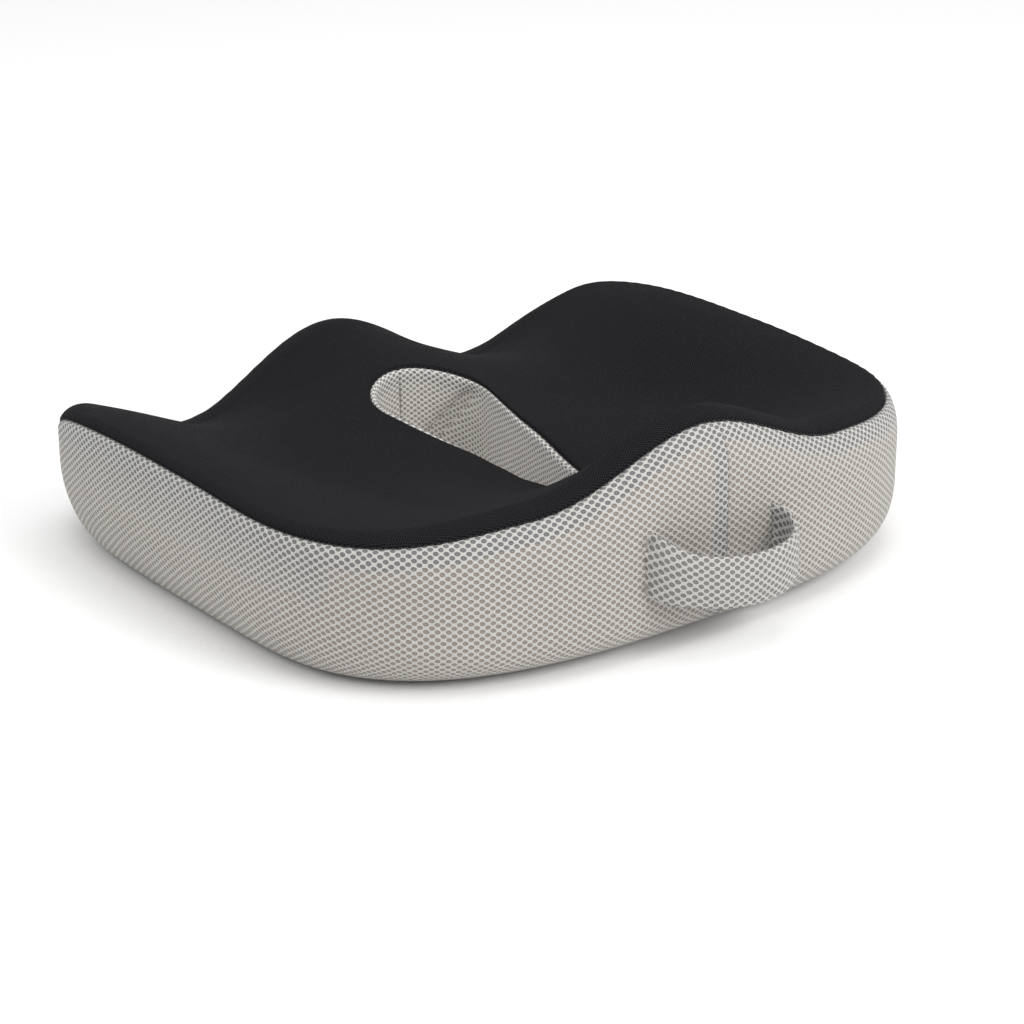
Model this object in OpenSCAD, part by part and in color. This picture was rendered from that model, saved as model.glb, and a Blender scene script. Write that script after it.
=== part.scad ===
// Contoured seat cushion with a tailbone cutout: foam core, sewn cover, front zip, carry handle.
// Millimetres. +X is the width, -Y the front (thigh) edge, +Y the rear edge with the handle, +Z up.

/* [Overall size] */
// Width of the cushion, side to side
cushion_w = 440; // [400:5:470]
// Depth of the cushion, front to rear, without the handle
cushion_d = 390; // [360:5:420]
// Height of the grip dots under the base
dot_h = 0.8; // [0.6:0.1:1.2]

/* [Outline seen from above] */
// Squareness of the front corners, 2 is round and larger is squarer
front_square = 5.8; // [3:0.1:7]
// Squareness of the rear corners
rear_square = 3; // [2.4:0.1:4]

/* [Seat heights, from front edge to rear edge] */
// Height along the centre line
centre_z = [99, 79.5, 64, 62, 156.6];
// Height along the bottom of the two leg grooves
groove_z = [37, 65, 62, 76.5, 109.5];
// Height along the two side shoulders
shoulder_z = [78, 91.5, 92.5, 89, 95.5];
// Distance of a leg groove from the centre line
groove_x = 108; // [90:1:120]
// Distance of a shoulder from the centre line
shoulder_x = 205; // [195:1:212]

/* [Edges: front, side, rear] */
// Height of the rounding along the top edge
top_round_h = [25, 12, 36];
// Width of the rounding along the top edge
top_round_w = [32, 10, 25];
// Height of the rounding along the bottom edge
low_round_h = [24, 47.5, 23];
// Width of the rounding along the bottom edge
low_round_w = [30, 23, 34];
// How much larger the bottom rounding grows at the two front corners
low_round_corner = 10; // [0:1:14]

/* [Tailbone cutout] */
// Distance of the cutout's wide front end from the middle
cut_front_y = 60.5; // [50:0.5:80]
// Radius of the wide front end
cut_front_r = 35; // [28:0.5:42]
// Distance of the cutout's narrow rear end from the middle
cut_rear_y = 96; // [60:1:100]
// Radius of the narrow rear end
cut_rear_r = 7.5; // [6:0.5:16]
// Rounding of the cutout's rim
cut_rim_r = 6; // [4:0.5:8]

/* [Cover] */
// Thickness of the spacer mesh and of the base fabric
mesh_t = 2.6; // [2:0.1:3]
// Air gap between cover and foam
ease_gap = 0.4; // [0.3:0.1:1]
// Gap between two sewn panels, filled by the sewing thread
seam_gap = 1.4; // [1.2:0.1:2]
// Thickness of the sewing thread ridge
thread_d = 1.1; // [0.8:0.1:1.2]
// Sideways place of the side strip's rear joint
rear_joint_x = -11; // [-20:1:20]

/* [Zip] */
// Length of the zip tape
zip_l = 244; // [180:4:250]
// Width of each half of the tape
tape_w = 8; // [7:0.2:9]
// Distance from one tooth to the next
tooth_pitch = 3; // [2:0.5:4]
// Length of the pull tab
tab_l = 17; // [12:1:20]

/* [Handle] */
// Distance between the two sewn ends of the handle
handle_w = 92; // [80:1:100]
// How far the handle stands out from the rear wall
handle_out = 30; // [24:1:34]
// Height of the strap in the middle
strap_h = 30; // [24:1:34]
// Height of the strap at its sewn ends
strap_end_h = 37; // [30:1:40]
// Thickness of the strap
strap_t = 5; // [4:0.5:6]
// Height of the middle of the sewn ends
handle_z = 57; // [50:1:60]
// How much the strap droops from its ends to its middle
strap_droop = 10; // [0:1:14]

/* [Hidden] */

half_w = cushion_w / 2;
half_d = cushion_d / 2;
// How far the strap's ends reach back past the rearmost point of the wall, which curves away there,
// and how far the pull tab stands out in front
strap_set_in = 0.3;
puller_out = 4.7;
body_shift = (puller_out - handle_out - strap_t / 2 + strap_set_in) / 2;
core_off = mesh_t + ease_gap;

// Steps around the cushion, and steps of each part of the cross-section
around = 72;
step = 360 / around;
curve_n = 4;
seat_n = 7;

// The top seam's place on the top rounding: 0 is its lower end and 1 is the seat surface
seam_front = 0.4;
seam_left = 0.47;
seam_right = 0.57;
seam_rear = 0.64;
seam_corner_dip = 0.4;

// The base seam's place on the bottom rounding: 0 is the base and 1 is the wall
base_seam = 0.13;
zip_seam = 0.8;
zip_gap = 0.165;

// Zip heights, measured outwards from the tape's resting plane
tape_t = 0.6;
teeth_t = 1.6;
teeth_gap = 1.5;
teeth_w = 2.2;
plate_t = 1;
slider_l = 11;
slider_w = 9;
clear = 0.3;
bar_r = 0.6;
bore_r = 0.85;
slide_home = zip_l / 2 - 14;

// Handle pivot, beside the rear wall and a little below the middle of the sewn ends
pivot_out = 4;
pivot_drop = 1.7;
split_r = 20.8;
strap_steps = 28;

function mix(a, b, t) = a + (b - a) * t;
function ease(t) = let (c = min(1, max(0, t))) c * c * (3 - 2 * c);

// Smooth curve through five equally spaced heights; s runs from -1 (front) to 1 (rear)
function along(v, s) =
    let (u = min(3.9999, max(0, (s + 1) * 2)), i = floor(u), f = u - i)
    let (p0 = i == 0 ? 2 * v[0] - v[1] : v[i - 1], p1 = v[i], p2 = v[i + 1])
    let (p3 = i == 3 ? 2 * v[4] - v[3] : v[i + 2])
    (2 * p1 + (p2 - p0) * f + (2 * p0 - 5 * p1 + 4 * p2 - p3) * f * f
        + (3 * p1 - p0 - 3 * p2 + p3) * f * f * f) / 2;

// Height of the seat surface at a point seen from above
function seat_z(p) =
    let (s = p.y / half_d, x = abs(p.x))
    let (c = along(centre_z, s), g = along(groove_z, s), h = along(shoulder_z, s))
    x < groove_x
        ? mix(c, g, ease(x / groove_x))
        : mix(g, h, ease((x - groove_x) / (shoulder_x - groove_x)));

// Outline point in direction a, and the outward direction there
function edge(a) =
    let (n = mix(front_square, rear_square, ease((sin(a) + 1) / 2)))
    let (r = pow(pow(abs(cos(a)) / half_w, n) + pow(abs(sin(a)) / half_d, n), -1 / n))
    [r * cos(a), r * sin(a)];
function outward(a) =
    let (t = edge(a + 1) - edge(a - 1))
    [t.y, -t.x] / norm(t);

// A front, side and rear value blended by which way the edge faces
function facing(v, n) = n.x * n.x * v[1] + n.y * n.y * (n.y < 0 ? v[0] : v[2]);

// Points of the cross-section in direction a, at depth off below the cover's surface
function low_round(v, n) =
    facing(v, n) + (n.y < 0 ? 4 * n.x * n.x * n.y * n.y * low_round_corner : 0);
function low_pt(a, k, off) =
    let (n = outward(a), h = low_round(low_round_h, n), w = low_round(low_round_w, n))
    let (d = w - (w - off) * sin(90 * k), p = edge(a) - d * n)
    [p.x, p.y, dot_h + h - (h - off) * cos(90 * k)];
function rim_pt(a) =
    let (n = outward(a))
    edge(a) - facing(top_round_w, n) * n;
// The top rounding gets lower where the edge is thin, so that a strip of wall always stays
least_wall = 3;
function top_h(a) =
    let (n = outward(a), room = seat_z(rim_pt(a)) - dot_h - low_round(low_round_h, n) - least_wall)
    min(facing(top_round_h, n), room);
function high_pt(a, k, off) =
    let (n = outward(a), h = top_h(a), w = facing(top_round_w, n))
    let (d = w - (w - off) * cos(90 * k), p = edge(a) - d * n)
    [p.x, p.y, seat_z(rim_pt(a)) - h + (h - off) * sin(90 * k)];

// Cutout outline, two circles joined by straight flanks and grown by g. The rays start at ray_y,
// and ray_dir crowds them towards the two ends.
ray_y = 12;
ray_crowd = 2.4;
function ray_dir(a) =
    let (v = [cos(a), ray_crowd * sin(a)])
    v / norm(v);
function circle_exit(d, q, r) = d.y * q + sqrt(max(0, pow(d.y * q, 2) - q * q + r * r));
function cut_pt(a, g) =
    let (d = ray_dir(a), r1 = cut_front_r + g, r2 = cut_rear_r + g)
    let (sn = (r1 - r2) / (cut_front_y + cut_rear_y), cs = sqrt(1 - sn * sn))
    let (slope = cs * abs(d.x) + sn * d.y)
    let (flank = (r1 - sn * (ray_y + cut_front_y)) / max(0.001, slope), y = ray_y + flank * d.y)
    let (rear = slope < 0.001 || y > cut_rear_y + r2 * sn, front = y < r1 * sn - cut_front_y)
    let (rho = front ? circle_exit(d, -cut_front_y - ray_y, r1)
            : rear ? circle_exit(d, cut_rear_y - ray_y, r2) : flank)
    [rho * d.x, ray_y + rho * d.y];

// Seat surface between the cutout's rim (r = 0) and the edge rounding (r = 1)
function seat_pt(a, r, off) =
    let (p = mix(cut_pt(a, cut_rim_r), rim_pt(a), r))
    [p.x, p.y, seat_z(p) - off];
// Rim of the cutout: k = 0 on the wall, 1 on the seat
function cut_rim_pt(a, k, off) =
    let (p = cut_pt(a, cut_rim_r - (cut_rim_r - off) * cos(90 * k)))
    [p.x, p.y, seat_z(cut_pt(a, cut_rim_r)) - cut_rim_r + (cut_rim_r - off) * sin(90 * k)];
// Foot of the cutout wall: k = 0 on the wall, 1 on the base
function cut_foot_pt(a, k, off) =
    let (p = cut_pt(a, cut_rim_r - (cut_rim_r - off) * cos(90 * k)))
    [p.x, p.y, dot_h + cut_rim_r - (cut_rim_r - off) * sin(90 * k)];

// Places of the seams, as fractions of the roundings
function top_seam_k(a) =
    let (n = outward(a), side = n.x > 0 ? seam_left : seam_right)
    facing([seam_front, side, seam_rear], n)
        - seam_corner_dip * 4 * n.x * n.x * n.y * n.y * (n.y < 0 ? 1 : 0);
// Degrees away from straight ahead, seen from above
function from_front(a) = abs((a + 270) % 360 - 180);
zip_end_a = atan(zip_l / 2 / half_d);
function base_seam_k(a) = mix(zip_seam, base_seam, ease((from_front(a) - zip_end_a) / 30));
function gap_k(a) =
    let (n = outward(a), size = (low_round(low_round_h, n) + low_round(low_round_w, n)) / 2)
    mix(zip_gap, seam_gap / 2 / (size * PI / 2), min(1, max(0, (from_front(a) - zip_end_a + 3) / 5)));
function top_gap_k(a) =
    let (n = outward(a))
    seam_gap / 2 / ((facing(top_round_h, n) + facing(top_round_w, n)) / 2 * PI / 2);

// ---- Building a solid from cross-section loops ----

// Each loop goes up the outside and down the inside; ends are capped unless the sweep is closed.
// A folded loop is a panel's: its back is cut into triangles along the same diagonals as its face,
// so that a bent panel and the foam behind it stay parallel.
module sweep(loops, closed = true, folded = false) {
    m = len(loops[0]);
    last = closed ? len(loops) : len(loops) - 1;
    points = [for (loop = loops) each loop];
    sides = [
        for (j = [0 : last - 1], i = [0 : m - 1])
            let (a = j * m, b = ((j + 1) % len(loops)) * m, i2 = (i + 1) % m)
            each folded && i >= m / 2
                ? [[a + i, a + i2, b + i], [a + i2, b + i2, b + i]]
                : [[a + i, a + i2, b + i2], [a + i, b + i2, b + i]]
    ];
    end = (len(loops) - 1) * m;
    first_cap = [
        for (i = [0 : m / 2 - 2])
            each [[i, m - 1 - i, m - 2 - i], [i, m - 2 - i, i + 1]]
    ];
    last_cap = [for (f = first_cap) [end + f[0], end + f[2], end + f[1]]];
    polyhedron(points, closed ? sides : concat(sides, first_cap, last_cap), convexity = 8);
}

// A panel's loop: the outer points, then the inner points back again
function panel(outer, inner) = concat(outer, [for (i = [len(inner) - 1 : -1 : 0]) inner[i]]);
function spread(from, to, n) = [for (i = [0 : n]) mix(from, to, i / n)];
function turn(from, to) = [for (a = [from : step : to]) a];
// Both ends, and every whole step between them, so that neighbouring panels share their facets
function part_turn(from, to) =
    concat([from], [for (a = [ceil(from / step + 0.1) : floor(to / step - 0.1)]) a * step], [to]);

// A thread ridge that follows the points of a path with a square section of side d
function thread_loops(path, ups, d) = [
    for (i = [0 : len(path) - 1])
        let (next = path[min(i + 1, len(path) - 1)], prev = path[max(i - 1, 0)])
        let (run = (next - prev) / norm(next - prev), side = cross(run, ups[i]) / norm(cross(run, ups[i])))
        let (up = cross(side, run), h = d / 2)
        [for (c = [[1, 0], [0, 1], [-1, 0], [0, -1]]) path[i] + side * h * c.x + up * h * c.y]
];

module placed() {
    translate([0, body_shift, 0]) children();
}

// ---- Foam and cover panels ----

// The foam follows the same points as the panels over it, at a greater depth
function core_loop(a) = concat(
    wall_side(a, core_off),
    seat_side(a, core_off),
    lining_side(a, core_off),
    base_side(a, core_off)
);

module foam_core() {
    color("ivory") placed() sweep([for (a = turn(0, 359)) core_loop(a)]);
}

// Seat panel, from the top seam to the seam on the cutout's rim
rim_seam = 0.55;
rim_seam_gap = seam_gap / (cut_rim_r * PI);
function seat_side(a, off) = concat(
    [for (k = spread(top_seam_k(a) + top_gap_k(a), 1, 3)) high_pt(a, k, off)],
    [for (i = [seat_n - 1 : -1 : 0]) seat_pt(a, i / seat_n, off)],
    [cut_rim_pt(a, rim_seam + rim_seam_gap, off)]
);

module top_panel() {
    color("#1c1d20") placed()
        sweep([for (a = turn(0, 359)) panel(seat_side(a, 0), seat_side(a, mesh_t))], folded = true);
}

// Side strip, from the base seam to the top seam
function wall_side(a, off) = concat(
    [for (k = spread(base_seam_k(a) + gap_k(a), 1, curve_n)) low_pt(a, k, off)],
    [for (k = spread(0, top_seam_k(a) - top_gap_k(a), 3)) high_pt(a, k, off)]
);
joint_trim = 0.2;
lining_trim = 0.5;
rear_joint_a = 90 - atan(rear_joint_x / half_d);
module side_strip(from, to) {
    angles = part_turn(from + joint_trim, to - joint_trim);
    color("#b9b7b1") placed()
        sweep(
            [for (a = angles) panel(wall_side(a, 0), wall_side(a, mesh_t))],
            closed = false, folded = true
        );
}
module side_panel_left() {
    side_strip(-90, rear_joint_a);
}
module side_panel_right() {
    side_strip(rear_joint_a, 270);
}

// Base fabric, from the base seam to the cutout's foot
foot_seam = 0.5;
function base_side(a, off) = concat(
    [cut_foot_pt(a, foot_seam + rim_seam_gap, off), cut_foot_pt(a, 1, off)],
    [for (k = spread(0, base_seam_k(a) - gap_k(a), 3)) low_pt(a, k, off)]
);
module base_panel() {
    color("#3a3b3d") placed()
        sweep([for (a = turn(0, 359)) panel(base_side(a, 0), base_side(a, mesh_t))], folded = true);
}

// Lining of the cutout, from the rim seam down to the foot seam
function lining_side(a, off) = [
    cut_rim_pt(a, rim_seam - rim_seam_gap, off), cut_rim_pt(a, 0, off),
    mix(cut_rim_pt(a, 0, off), cut_foot_pt(a, 0, off), 0.5),
    cut_foot_pt(a, 0, off), cut_foot_pt(a, foot_seam - rim_seam_gap, off)
];
module cutout_lining() {
    angles = part_turn(-90 + lining_trim, 270 - lining_trim);
    color("#a9a8a4") placed()
        sweep(
            [for (a = angles) panel(lining_side(a, 0), lining_side(a, mesh_t))],
            closed = false, folded = true
        );
}

// ---- Sewing threads, sunk in the gaps between the panels ----

thread_sink = mesh_t / 2;
fine_thread_d = 0.55;
function outward3(a) = let (n = outward(a)) [n.x, n.y, 0];
module closed_thread(pts, ups, d) {
    n = len(pts);
    wrapped = concat([pts[n - 1]], pts, [pts[0]]);
    wrapped_ups = concat([ups[n - 1]], ups, [ups[0]]);
    loops = thread_loops(wrapped, wrapped_ups, d);
    sweep([for (i = [1 : n]) loops[i]]);
}

module top_seam_thread() {
    angles = turn(0, 359);
    color("#17181a") placed()
        closed_thread(
            [for (a = angles) high_pt(a, top_seam_k(a), thread_sink)],
            [for (a = angles) outward3(a)],
            thread_d
        );
}
module cutout_seam_thread() {
    angles = turn(0, 359);
    color("#17181a") placed()
        closed_thread(
            [for (a = angles) cut_rim_pt(a, rim_seam, thread_sink)],
            [for (a = angles) [0, 0, 1]],
            fine_thread_d
        );
}
module cutout_base_thread() {
    angles = turn(0, 359);
    color("#17181a") placed()
        closed_thread(
            [for (a = angles) cut_foot_pt(a, foot_seam, thread_sink)],
            [for (a = angles) [0, 0, 1]],
            fine_thread_d
        );
}
// The base seam is open along the zip
module base_seam_thread() {
    angles = part_turn(-90 + zip_end_a + 4, 270 - zip_end_a - 4);
    color("#17181a") placed()
        sweep(
            thread_loops(
                [for (a = angles) low_pt(a, base_seam_k(a), thread_sink)],
                [for (a = angles) outward3(a)], fine_thread_d
            ),
            closed = false
        );
}
// Upright joints in the side strip and in the lining
joint_thread_d = 0.5;
module wall_joint_thread(a, from) {
    path = concat(
        [for (k = spread(from, 1, 4)) low_pt(a, k, 0.6)],
        [for (k = spread(0.02, top_seam_k(a) - 2 * top_gap_k(a), 4)) high_pt(a, k, 0.6)]
    );
    color("#9c9a94") placed()
        sweep(thread_loops(path, [for (p = path) outward3(a + 90)], joint_thread_d), closed = false);
}
module rear_joint_thread() {
    wall_joint_thread(rear_joint_a, 0.2);
}
module front_joint_thread() {
    wall_joint_thread(-90, 0.98);
}
module lining_joint_thread() {
    path = [for (t = [0, 0.5, 1]) mix(cut_rim_pt(-90, 0, 0.6), cut_foot_pt(-90, 0, 0.6), t)];
    color("#9c9a94") placed()
        sweep(thread_loops(path, [for (p = path) [1, 0, 0]], joint_thread_d), closed = false);
}

// ---- Grip dots under the base ----

dot_r = 2.6;
dot_pitch = 18;
// The dots stay on the flat of the base, clear of the edge rounding and of the cutout
function on_base(p) =
    pow(abs(p.x) / (half_w - 34), 5) + pow(abs(p.y) / (half_d - 56), 5) < 1
        && !(abs(p.x) < cut_front_r + 14 && p.y > -cut_front_y - cut_front_r - 14
            && p.y < cut_rear_y + cut_rear_r + 14);
// Every fifth dot of every fourth row bears the weight; the other dots are dot_lift shorter
dot_lift = 0.15;
dot_places = [
    for (j = [-9 : 9], i = [-12 : 12])
        let (p = [(i + (j % 2 == 0 ? 0 : 0.5)) * dot_pitch, j * dot_pitch * sin(60)])
        if (on_base(p)) [p.x, p.y, i % 5 == 0 && j % 4 == 0 ? 0 : dot_lift]
];
module dots(places) {
    color("#2b2c2e") placed()
        for (p = places)
            translate(p) cylinder(h = dot_h - p.z, r = dot_r, $fn = 24);
}
block_x = cut_front_r + 14;
function in_zone(p, zone) =
    zone == "left" ? p.x >= block_x
        : zone == "right" ? p.x <= -block_x
        : abs(p.x) < block_x && (zone == "front" ? p.y < 0 : p.y > 0);
module grip_dots(zone) {
    dots([for (p = dot_places) if (p.z > 0 && in_zone(p, zone)) p]);
}
module grip_dots_bearing() {
    dots([for (p = dot_places) if (p.z == 0) p]);
}
module grip_dots_front() {
    grip_dots("front");
}
module grip_dots_rear() {
    grip_dots("rear");
}
module grip_dots_left() {
    grip_dots("left");
}
module grip_dots_right() {
    grip_dots("right");
}

// ---- Zip, along the lower front edge ----

// The zip's own axes: x along the tape, y up the cushion's face, z outwards
zip_seat = low_pt(-90, zip_seam, 0);
zip_tilt = atan2(
    cos(90 * zip_seam) / low_round_h[0],
    sin(90 * zip_seam) / low_round_w[0]
);
module on_zip() {
    placed() translate(zip_seat) rotate([90 + zip_tilt, 0, 0]) children();
}
tape_top = -0.1;
teeth_top = tape_top + teeth_t;

module tape(first_y) {
    color("#2a2b2d") on_zip()
        translate([-zip_l / 2, first_y, tape_top - tape_t]) cube([zip_l, tape_w, tape_t]);
}
module zip_tape_upper() {
    tape(teeth_gap / 2);
}
module zip_tape_lower() {
    tape(-teeth_gap / 2 - tape_w);
}

// One row of teeth: a strip with a toothed inner edge
teeth_run = zip_l - 16;
tooth_n = floor(teeth_run / tooth_pitch);
function teeth_outline() =
    let (x0 = -tooth_n * tooth_pitch / 2, root = teeth_gap / 2 + 0.9, tip = teeth_gap / 2)
    concat(
        [for (i = [0 : tooth_n - 1], c = [[0.1, root], [0.3, tip], [0.7, tip], [0.9, root]])
            [x0 + (i + c.x) * tooth_pitch, c.y]],
        [[-x0, teeth_gap / 2 + teeth_w], [x0, teeth_gap / 2 + teeth_w]]
    );
module teeth(flip) {
    color("#3c3d40") on_zip()
        translate([0, 0, tape_top])
            linear_extrude(teeth_t) polygon([for (p = teeth_outline()) [p.x, p.y * flip]]);
}
module zip_teeth_upper() {
    teeth(1);
}
module zip_teeth_lower() {
    teeth(-1);
}

// Two rows of stitches that hold the tape to the cover
stitch_l = 2.8;
stitch_pitch = 4;
module zip_tape_stitches() {
    count = floor((zip_l - 8) / stitch_pitch);
    color("#17181a") on_zip()
        for (side = [-1, 1], i = [0 : count - 1])
            translate([(i - (count - 1) / 2) * stitch_pitch - stitch_l / 2, side * (teeth_gap / 2 + tape_w - 2), 0.25])
                rotate([0, 90, 0]) cylinder(h = stitch_l, r = 0.35, $fn = 16);
}
module zip_end_stops() {
    color("#8d9094") on_zip()
        for (side = [-1, 1])
            translate([side * (zip_l / 2 - 4) - 1.25, -3.2, tape_top]) cube([2.5, 6.4, teeth_t + 0.3]);
}

// Slider: two plates, side flanges, a post between the rows of teeth and a drilled lug
upper_z = teeth_top + clear;
lower_z = tape_top - tape_t - clear;
bar_z = upper_z + plate_t + 1.5;
module zip_slider() {
    flange_w = 0.9;
    lug_w = 2.4;
    color("#77797d") on_zip() translate([slide_home, 0, 0]) {
        translate([-slider_l / 2, -slider_w / 2, upper_z]) cube([slider_l, slider_w, plate_t]);
        translate([-slider_l / 2, -slider_w / 2, lower_z - plate_t]) cube([slider_l, slider_w, plate_t]);
        for (side = [-1, 1])
            translate([-slider_l / 2, side * (slider_w - flange_w) / 2 - flange_w / 2, tape_top + clear])
                cube([slider_l, flange_w, teeth_t]);
        translate([-1.6, -0.4, lower_z - 0.1]) cube([3.2, 0.8, upper_z - lower_z + 0.2]);
        difference() {
            union() {
                translate([-1.6, -lug_w / 2, upper_z + plate_t - 0.1]) cube([3.2, lug_w, 1.6]);
                translate([0, lug_w / 2, bar_z]) rotate([90, 0, 0]) cylinder(h = lug_w, r = 1.6, $fn = 40);
            }
            translate([0, lug_w, bar_z]) rotate([90, 0, 0]) cylinder(h = 2 * lug_w, r = bore_r, $fn = 40);
        }
    }
}

// Pull tab: a pin through the lug, two arms and a plate with a hole
module zip_puller() {
    arm_in = 1.6;
    arm_w = 1.4;
    color("#77797d") on_zip() translate([slide_home, 0, bar_z]) {
        translate([0, arm_in + arm_w, 0]) rotate([90, 0, 0])
            cylinder(h = 2 * (arm_in + arm_w), r = bar_r, $fn = 40);
        for (side = [-1, 1])
            translate([0, side * (arm_in + arm_w / 2), 0]) {
                translate([-5, -arm_w / 2, -bar_r]) cube([5, arm_w, 2 * bar_r]);
                translate([0, arm_w / 2, 0]) rotate([90, 0, 0]) cylinder(h = arm_w, r = 1.1, $fn = 40);
            }
        difference() {
            translate([-4 - tab_l + 3, 0, -bar_r]) {
                translate([0, -3, 0]) cube([tab_l - 3, 6, 2 * bar_r]);
                cylinder(h = 2 * bar_r, r = 3, $fn = 48);
            }
            translate([-4 - tab_l + 3.5, 0, -1]) cylinder(h = 2, r = 1.5, $fn = 32);
        }
    }
}

// ---- Handle on the rear wall ----

wall_y = half_d;
// Middle of the strap at t = 0 (left end) to 1 (right end)
function bow(t) =
    let (u = 180 * t)
    [handle_w / 2 * cos(u), handle_out * pow(max(0, sin(u)), 0.8), 0];
function strap_mid(t) =
    let (b = bow(t))
    [b.x, wall_y - strap_set_in + b.y, handle_z - strap_droop * b.y / handle_out];
function strap_half_h(t) = mix(strap_end_h, strap_h, ease(sin(180 * t) * 1.3)) / 2;
function strap_out(t) =
    let (d = bow(min(1, t + 0.01)) - bow(max(0, t - 0.01)))
    [d.y, -d.x, 0] / norm(d);
// Cross-section of a strap layer between depths d0 and d1 from its outer face
function strap_loop(t, d0, d1, trim) =
    let (m = strap_mid(t), n = strap_out(t), h = strap_half_h(t) - trim)
    let (outer = m + n * (strap_t / 2 - d0), inner = m + n * (strap_t / 2 - d1))
    [
        outer + [0, 0, -h + 0.8], outer + [0, 0, h - 0.8],
        mix(outer, inner, 0.5) + [0, 0, h], inner + [0, 0, h - 0.8],
        inner + [0, 0, -h + 0.8], mix(outer, inner, 0.5) + [0, 0, -h]
    ];
module strap_layer(d0, d1, trim) {
    sweep([for (i = [0 : strap_steps]) strap_loop(i / strap_steps, d0, d1, trim)], closed = false);
}
// Everything nearer the pivot than the split belongs to the sewn ends, the rest to the moving strap
module pivot_drum(r) {
    translate([-handle_w, wall_y + pivot_out, handle_z - pivot_drop])
        rotate([0, 90, 0]) cylinder(h = 2 * handle_w, r = r, $fn = 64);
}
module moving_layer(d0, d1, trim) {
    color("#b3b1ab") placed() difference() {
        strap_layer(d0, d1, trim);
        pivot_drum(split_r + clear);
    }
}
face_t = 1.2;
module handle_outer_face() {
    moving_layer(0, face_t, 0);
}
module handle_padding() {
    moving_layer(face_t + 0.05, strap_t - face_t - 0.05, 1.5);
}
module handle_inner_face() {
    moving_layer(strap_t - face_t, strap_t, 0);
}
module handle_edge_thread() {
    color("#9c9a94") placed() difference() {
        for (side = [-1, 1]) {
            ts = spread(0.985, 0.015, strap_steps);
            path = [for (t = ts) strap_mid(t) + [0, 0, side * (strap_half_h(t) - 0.7)]];
            sweep(thread_loops(path, [for (t = ts) -strap_out(t)], 0.9), closed = false);
        }
        pivot_drum(split_r + clear);
    }
}
// Sewn ends: the strap's full thickness from the wall out to the split
module handle_end(side) {
    color("#b3b1ab") placed() intersection() {
        strap_layer(0, strap_t, 0);
        pivot_drum(split_r - clear);
        translate([side > 0 ? 0 : -handle_w, wall_y - 5, 0]) cube([handle_w, 2 * handle_out, 120]);
    }
}
module handle_end_left() {
    handle_end(1);
}
module handle_end_right() {
    handle_end(-1);
}
// Dense stitching at the top and bottom of each sewn end
tack_r = 0.4;
tack_x = (handle_w + strap_t) / 2 + tack_r + 0.05;
module handle_bartacks() {
    color("#8f8d87") placed()
        for (side = [-1, 1], level = [-1, 1], i = [-3 : 3])
            translate([side * tack_x, wall_y + 3.5, handle_z + level * 13 + i * 0.9])
                rotate([90, 0, 0]) cylinder(h = 3, r = tack_r, $fn = 16);
}

foam_core();
top_panel();
side_panel_left();
side_panel_right();
base_panel();
cutout_lining();
top_seam_thread();
cutout_seam_thread();
base_seam_thread();
cutout_base_thread();
rear_joint_thread();
front_joint_thread();
lining_joint_thread();
grip_dots_bearing();
grip_dots_front();
grip_dots_rear();
grip_dots_left();
grip_dots_right();
zip_tape_upper();
zip_tape_lower();
zip_teeth_upper();
zip_teeth_lower();
zip_tape_stitches();
zip_end_stops();
zip_slider();
zip_puller();
handle_end_left();
handle_end_right();
handle_bartacks();
handle_outer_face();
handle_padding();
handle_inner_face();
handle_edge_thread();
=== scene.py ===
"""Looks for the contoured seat cushion: cover, foam, seams, handle, studio and camera."""

import math

import bpy
import numpy as np
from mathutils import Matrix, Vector


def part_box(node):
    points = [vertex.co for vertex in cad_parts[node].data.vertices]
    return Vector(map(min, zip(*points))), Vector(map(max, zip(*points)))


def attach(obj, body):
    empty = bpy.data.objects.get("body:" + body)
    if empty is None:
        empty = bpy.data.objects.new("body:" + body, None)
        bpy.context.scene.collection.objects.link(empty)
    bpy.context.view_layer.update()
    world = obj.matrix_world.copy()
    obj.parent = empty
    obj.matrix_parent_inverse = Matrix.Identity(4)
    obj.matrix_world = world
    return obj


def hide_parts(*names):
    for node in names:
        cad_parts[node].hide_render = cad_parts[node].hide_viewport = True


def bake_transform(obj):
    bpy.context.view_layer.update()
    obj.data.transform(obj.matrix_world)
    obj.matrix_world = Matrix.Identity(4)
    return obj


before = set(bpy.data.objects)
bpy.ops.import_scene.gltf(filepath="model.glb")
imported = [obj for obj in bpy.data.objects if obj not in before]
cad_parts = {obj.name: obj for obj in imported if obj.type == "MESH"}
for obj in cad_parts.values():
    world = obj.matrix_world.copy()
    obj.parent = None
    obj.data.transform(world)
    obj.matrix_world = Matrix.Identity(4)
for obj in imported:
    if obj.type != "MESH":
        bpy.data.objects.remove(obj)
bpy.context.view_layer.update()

MM = 0.001

# ---------------------------------------------------------------- shape of the cushion
# The same driving dimensions as the CAD source, in millimetres. Lists run from front to rear, and
# edge roundings are (front, side, rear).
HALF_W = 220.0
HALF_D = 195.0
FRONT_SQUARE = 5.8
REAR_SQUARE = 3.0
CENTRE_Z = (99, 79.5, 64, 62, 156.6)
GROOVE_Z = (37, 65, 62, 76.5, 109.5)
SHOULDER_Z = (78, 91.5, 92.5, 89, 95.5)
GROOVE_X = 108.0
SHOULDER_X = 205.0
TOP_ROUND_H = (25, 12, 36)
TOP_ROUND_W = (32, 10, 25)
LOW_ROUND_H = (24, 47.5, 23)
LOW_ROUND_W = (30, 23, 34)
LOW_ROUND_CORNER = 10.0
LEAST_WALL = 3.0
CUT_FRONT_Y = 60.5
CUT_FRONT_R = 35.0
CUT_REAR_Y = 96.0
CUT_REAR_R = 7.5
CUT_RIM_R = 6.0
RAY_Y = 12.0
RAY_CROWD = 2.4
DOT_H = 0.8
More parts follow.
